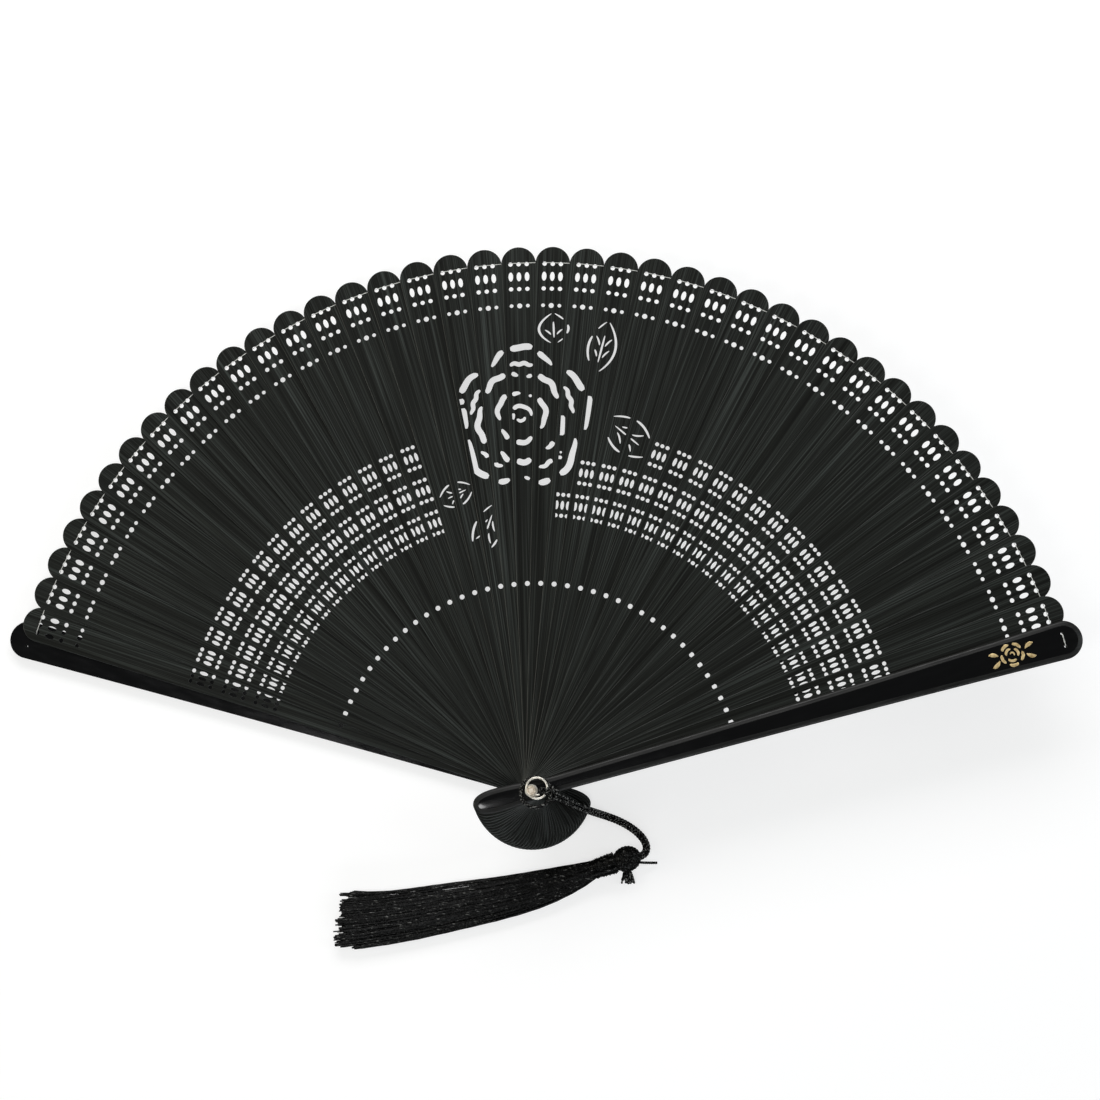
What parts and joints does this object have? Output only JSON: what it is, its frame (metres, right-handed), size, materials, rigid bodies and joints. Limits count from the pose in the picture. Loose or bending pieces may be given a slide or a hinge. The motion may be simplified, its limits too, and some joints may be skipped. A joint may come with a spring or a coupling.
{
  "type": "folding fan",
  "caption": "Hand fan of pierced dark sticks that overlap between two glossy guards, turning on one rivet, with a wire ring and a black tassel on a doubled cord.",
  "frame": {"origin": "centre of the rivet's rear head, flush with the surface that the opened fan lies on", "axes": "+X to the right along the opened fan's width, +Y from the rivet to the middle of the fan's edge, +Z along the rivet, from the rear guard up to the front guard"},
  "size_m": [0.3895, 0.2579, 0.0344],
  "materials": {
    "lacquer": "black lacquer, glossy on the face and satin on the rounded edges",
    "blackwood": "dyed dark wood with a fine lengthwise grain, satin",
    "gilt": "engraved gold-coloured inlay",
    "rivet_metal": "pale nickel, lightly worn",
    "wire": "polished wire",
    "silk": "black rayon yarn with a silky sheen",
    "thread": "translucent pale thread"
  },
  "bodies": {
    "front": {"front_guard": "lacquer", "rose_inlay": "gilt", "thread_stitch": "thread", "rivet_pin": "rivet_metal", "rivet_collar": "rivet_metal", "wire_eye": "wire", "cord_hitch": "silk", "cord_strand_left": "silk", "cord_strand_right": "silk", "tassel_head": "silk", "tassel_binding": "silk", "tassel_skirt": "silk", "cord_end": "silk", "tassel_tuft": "silk"},
    "rear": {"rear_guard": "lacquer"},
    "stick_01": {"stick_01": "blackwood"},
    "stick_02": {"stick_02": "blackwood"},
    "stick_03": {"stick_03": "blackwood"},
    "stick_04": {"stick_04": "blackwood"},
    "stick_05": {"stick_05": "blackwood"},
    "stick_06": {"stick_06": "blackwood"},
    "stick_07": {"stick_07": "blackwood"},
    "stick_08": {"stick_08": "blackwood"},
    "stick_09": {"stick_09": "blackwood"},
    "stick_10": {"stick_10": "blackwood"},
    "stick_11": {"stick_11": "blackwood"},
    "stick_12": {"stick_12": "blackwood"},
    "stick_13": {"stick_13": "blackwood"},
    "stick_14": {"stick_14": "blackwood"},
    "stick_15": {"stick_15": "blackwood"},
    "stick_16": {"stick_16": "blackwood"},
    "stick_17": {"stick_17": "blackwood"},
    "stick_18": {"stick_18": "blackwood"},
    "stick_19": {"stick_19": "blackwood"},
    "stick_20": {"stick_20": "blackwood"},
    "stick_21": {"stick_21": "blackwood"},
    "stick_22": {"stick_22": "blackwood"},
    "stick_23": {"stick_23": "blackwood"},
    "stick_24": {"stick_24": "blackwood"},
    "stick_25": {"stick_25": "blackwood"},
    "stick_26": {"stick_26": "blackwood"},
    "stick_27": {"stick_27": "blackwood"},
    "stick_28": {"stick_28": "blackwood"},
    "stick_29": {"stick_29": "blackwood"},
    "stick_30": {"stick_30": "blackwood"},
    "stick_31": {"stick_31": "blackwood"},
    "stick_32": {"stick_32": "blackwood"},
    "stick_33": {"stick_33": "blackwood"},
    "stick_34": {"stick_34": "blackwood"},
    "stick_35": {"stick_35": "blackwood"},
    "stick_36": {"stick_36": "blackwood"},
    "stick_37": {"stick_37": "blackwood"},
    "stick_38": {"stick_38": "blackwood"},
    "stick_39": {"stick_39": "blackwood"},
    "stick_40": {"stick_40": "blackwood"},
    "ring": {"ring": "wire"}
  },
  "joints": [
    {"name": "fold", "type": "hinge", "parent": "front", "child": "rear", "pos_m": [0, 0, 0], "axis": [0, 0, -1], "range_deg": [0, 147.9]},
    {"name": "fold_01", "type": "hinge", "parent": "front", "child": "stick_01", "pos_m": [0, 0, 0], "axis": [0, 0, -1], "range_deg": [0, 145.96]},
    {"name": "fold_02", "type": "hinge", "parent": "front", "child": "stick_02", "pos_m": [0, 0, 0], "axis": [0, 0, -1], "range_deg": [0, 142.39]},
    {"name": "fold_03", "type": "hinge", "parent": "front", "child": "stick_03", "pos_m": [0, 0, 0], "axis": [0, 0, -1], "range_deg": [0, 138.81]},
    {"name": "fold_04", "type": "hinge", "parent": "front", "child": "stick_04", "pos_m": [0, 0, 0], "axis": [0, 0, -1], "range_deg": [0, 135.21]},
    {"name": "fold_05", "type": "hinge", "parent": "front", "child": "stick_05", "pos_m": [0, 0, 0], "axis": [0, 0, -1], "range_deg": [0, 131.6]},
    {"name": "fold_06", "type": "hinge", "parent": "front", "child": "stick_06", "pos_m": [0, 0, 0], "axis": [0, 0, -1], "range_deg": [0, 127.98]},
    {"name": "fold_07", "type": "hinge", "parent": "front", "child": "stick_07", "pos_m": [0, 0, 0], "axis": [0, 0, -1], "range_deg": [0, 124.34]},
    {"name": "fold_08", "type": "hinge", "parent": "front", "child": "stick_08", "pos_m": [0, 0, 0], "axis": [0, 0, -1], "range_deg": [0, 120.69]},
    {"name": "fold_09", "type": "hinge", "parent": "front", "child": "stick_09", "pos_m": [0, 0, 0], "axis": [0, 0, -1], "range_deg": [0, 117.02]},
    {"name": "fold_10", "type": "hinge", "parent": "front", "child": "stick_10", "pos_m": [0, 0, 0], "axis": [0, 0, -1], "range_deg": [0, 113.33]},
    {"name": "fold_11", "type": "hinge", "parent": "front", "child": "stick_11", "pos_m": [0, 0, 0], "axis": [0, 0, -1], "range_deg": [0, 109.63]},
    {"name": "fold_12", "type": "hinge", "parent": "front", "child": "stick_12", "pos_m": [0, 0, 0], "axis": [0, 0, -1], "range_deg": [0, 105.92]},
    {"name": "fold_13", "type": "hinge", "parent": "front", "child": "stick_13", "pos_m": [0, 0, 0], "axis": [0, 0, -1], "range_deg": [0, 102.19]},
    {"name": "fold_14", "type": "hinge", "parent": "front", "child": "stick_14", "pos_m": [0, 0, 0], "axis": [0, 0, -1], "range_deg": [0, 98.45]},
    {"name": "fold_15", "type": "hinge", "parent": "front", "child": "stick_15", "pos_m": [0, 0, 0], "axis": [0, 0, -1], "range_deg": [0, 94.71]},
    {"name": "fold_16", "type": "hinge", "parent": "front", "child": "stick_16", "pos_m": [0, 0, 0], "axis": [0, 0, -1], "range_deg": [0, 90.95]},
    {"name": "fold_17", "type": "hinge", "parent": "front", "child": "stick_17", "pos_m": [0, 0, 0], "axis": [0, 0, -1], "range_deg": [0, 87.19]},
    {"name": "fold_18", "type": "hinge", "parent": "front", "child": "stick_18", "pos_m": [0, 0, 0], "axis": [0, 0, -1], "range_deg": [0, 83.43]},
    {"name": "fold_19", "type": "hinge", "parent": "front", "child": "stick_19", "pos_m": [0, 0, 0], "axis": [0, 0, -1], "range_deg": [0, 79.67]},
    {"name": "fold_20", "type": "hinge", "parent": "front", "child": "stick_20", "pos_m": [0, 0, 0], "axis": [0, 0, -1], "range_deg": [0, 75.91]},
    {"name": "fold_21", "type": "hinge", "parent": "front", "child": "stick_21", "pos_m": [0, 0, 0], "axis": [0, 0, -1], "range_deg": [0, 72.16]},
    {"name": "fold_22", "type": "hinge", "parent": "front", "child": "stick_22", "pos_m": [0, 0, 0], "axis": [0, 0, -1], "range_deg": [0, 68.41]},
    {"name": "fold_23", "type": "hinge", "parent": "front", "child": "stick_23", "pos_m": [0, 0, 0], "axis": [0, 0, -1], "range_deg": [0, 64.67]},
    {"name": "fold_24", "type": "hinge", "parent": "front", "child": "stick_24", "pos_m": [0, 0, 0], "axis": [0, 0, -1], "range_deg": [0, 60.95]},
    {"name": "fold_25", "type": "hinge", "parent": "front", "child": "stick_25", "pos_m": [0, 0, 0], "axis": [0, 0, -1], "range_deg": [0, 57.24]},
    {"name": "fold_26", "type": "hinge", "parent": "front", "child": "stick_26", "pos_m": [0, 0, 0], "axis": [0, 0, -1], "range_deg": [0, 53.54]},
    {"name": "fold_27", "type": "hinge", "parent": "front", "child": "stick_27", "pos_m": [0, 0, 0], "axis": [0, 0, -1], "range_deg": [0, 49.86]},
    {"name": "fold_28", "type": "hinge", "parent": "front", "child": "stick_28", "pos_m": [0, 0, 0], "axis": [0, 0, -1], "range_deg": [0, 46.19]},
    {"name": "fold_29", "type": "hinge", "parent": "front", "child": "stick_29", "pos_m": [0, 0, 0], "axis": [0, 0, -1], "range_deg": [0, 42.54]},
    {"name": "fold_30", "type": "hinge", "parent": "front", "child": "stick_30", "pos_m": [0, 0, 0], "axis": [0, 0, -1], "range_deg": [0, 38.91]},
    {"name": "fold_31", "type": "hinge", "parent": "front", "child": "stick_31", "pos_m": [0, 0, 0], "axis": [0, 0, -1], "range_deg": [0, 35.29]},
    {"name": "fold_32", "type": "hinge", "parent": "front", "child": "stick_32", "pos_m": [0, 0, 0], "axis": [0, 0, -1], "range_deg": [0, 31.68]},
    {"name": "fold_33", "type": "hinge", "parent": "front", "child": "stick_33", "pos_m": [0, 0, 0], "axis": [0, 0, -1], "range_deg": [0, 28.09]},
    {"name": "fold_34", "type": "hinge", "parent": "front", "child": "stick_34", "pos_m": [0, 0, 0], "axis": [0, 0, -1], "range_deg": [0, 24.51]},
    {"name": "fold_35", "type": "hinge", "parent": "front", "child": "stick_35", "pos_m": [0, 0, 0], "axis": [0, 0, -1], "range_deg": [0, 20.93]},
    {"name": "fold_36", "type": "hinge", "parent": "front", "child": "stick_36", "pos_m": [0, 0, 0], "axis": [0, 0, -1], "range_deg": [0, 17.37]},
    {"name": "fold_37", "type": "hinge", "parent": "front", "child": "stick_37", "pos_m": [0, 0, 0], "axis": [0, 0, -1], "range_deg": [0, 13.81]},
    {"name": "fold_38", "type": "hinge", "parent": "front", "child": "stick_38", "pos_m": [0, 0, 0], "axis": [0, 0, -1], "range_deg": [0, 10.25]},
    {"name": "fold_39", "type": "hinge", "parent": "front", "child": "stick_39", "pos_m": [0, 0, 0], "axis": [0, 0, -1], "range_deg": [0, 6.69]},
    {"name": "fold_40", "type": "hinge", "parent": "front", "child": "stick_40", "pos_m": [0, 0, 0], "axis": [0, 0, -1], "range_deg": [0, 3.13]},
    {"name": "ring_swing", "type": "hinge", "parent": "front", "child": "ring", "pos_m": [0, 0, 0], "axis": [0, 0, 1], "range_deg": [-40, 4]}
  ],
  "couplings": [
    {"joint": "fold_01", "follows": "fold", "ratio": 0.98684},
    {"joint": "fold_02", "follows": "fold", "ratio": 0.96268},
    {"joint": "fold_03", "follows": "fold", "ratio": 0.93845},
    {"joint": "fold_04", "follows": "fold", "ratio": 0.91414},
    {"joint": "fold_05", "follows": "fold", "ratio": 0.88975},
    {"joint": "fold_06", "follows": "fold", "ratio": 0.86525},
    {"joint": "fold_07", "follows": "fold", "ratio": 0.84066},
    {"joint": "fold_08", "follows": "fold", "ratio": 0.81596},
    {"joint": "fold_09", "follows": "fold", "ratio": 0.79114},
    {"joint": "fold_10", "follows": "fold", "ratio": 0.76623},
    {"joint": "fold_11", "follows": "fold", "ratio": 0.74121},
    {"joint": "fold_12", "follows": "fold", "ratio": 0.71609},
    {"joint": "fold_13", "follows": "fold", "ratio": 0.69089},
    {"joint": "fold_14", "follows": "fold", "ratio": 0.66561},
    {"joint": "fold_15", "follows": "fold", "ratio": 0.64027},
    {"joint": "fold_16", "follows": "fold", "ratio": 0.61488},
    {"joint": "fold_17", "follows": "fold", "ratio": 0.58946},
    {"joint": "fold_18", "follows": "fold", "ratio": 0.56403},
    {"joint": "fold_19", "follows": "fold", "ratio": 0.5386},
    {"joint": "fold_20", "follows": "fold", "ratio": 0.51318},
    {"joint": "fold_21", "follows": "fold", "ratio": 0.4878},
    {"joint": "fold_22", "follows": "fold", "ratio": 0.46247},
    {"joint": "fold_23", "follows": "fold", "ratio": 0.43721},
    {"joint": "fold_24", "follows": "fold", "ratio": 0.41202},
    {"joint": "fold_25", "follows": "fold", "ratio": 0.38693},
    {"joint": "fold_26", "follows": "fold", "ratio": 0.36192},
    {"joint": "fold_27", "follows": "fold", "ratio": 0.33703},
    {"joint": "fold_28", "follows": "fold", "ratio": 0.31224},
    {"joint": "fold_29", "follows": "fold", "ratio": 0.28756},
    {"joint": "fold_30", "follows": "fold", "ratio": 0.26298},
    {"joint": "fold_31", "follows": "fold", "ratio": 0.23851},
    {"joint": "fold_32", "follows": "fold", "ratio": 0.21413},
    {"joint": "fold_33", "follows": "fold", "ratio": 0.18984},
    {"joint": "fold_34", "follows": "fold", "ratio": 0.16563},
    {"joint": "fold_35", "follows": "fold", "ratio": 0.14147},
    {"joint": "fold_36", "follows": "fold", "ratio": 0.11737},
    {"joint": "fold_37", "follows": "fold", "ratio": 0.093296},
    {"joint": "fold_38", "follows": "fold", "ratio": 0.069237},
    {"joint": "fold_39", "follows": "fold", "ratio": 0.045178},
    {"joint": "fold_40", "follows": "fold", "ratio": 0.021099}
  ]
}
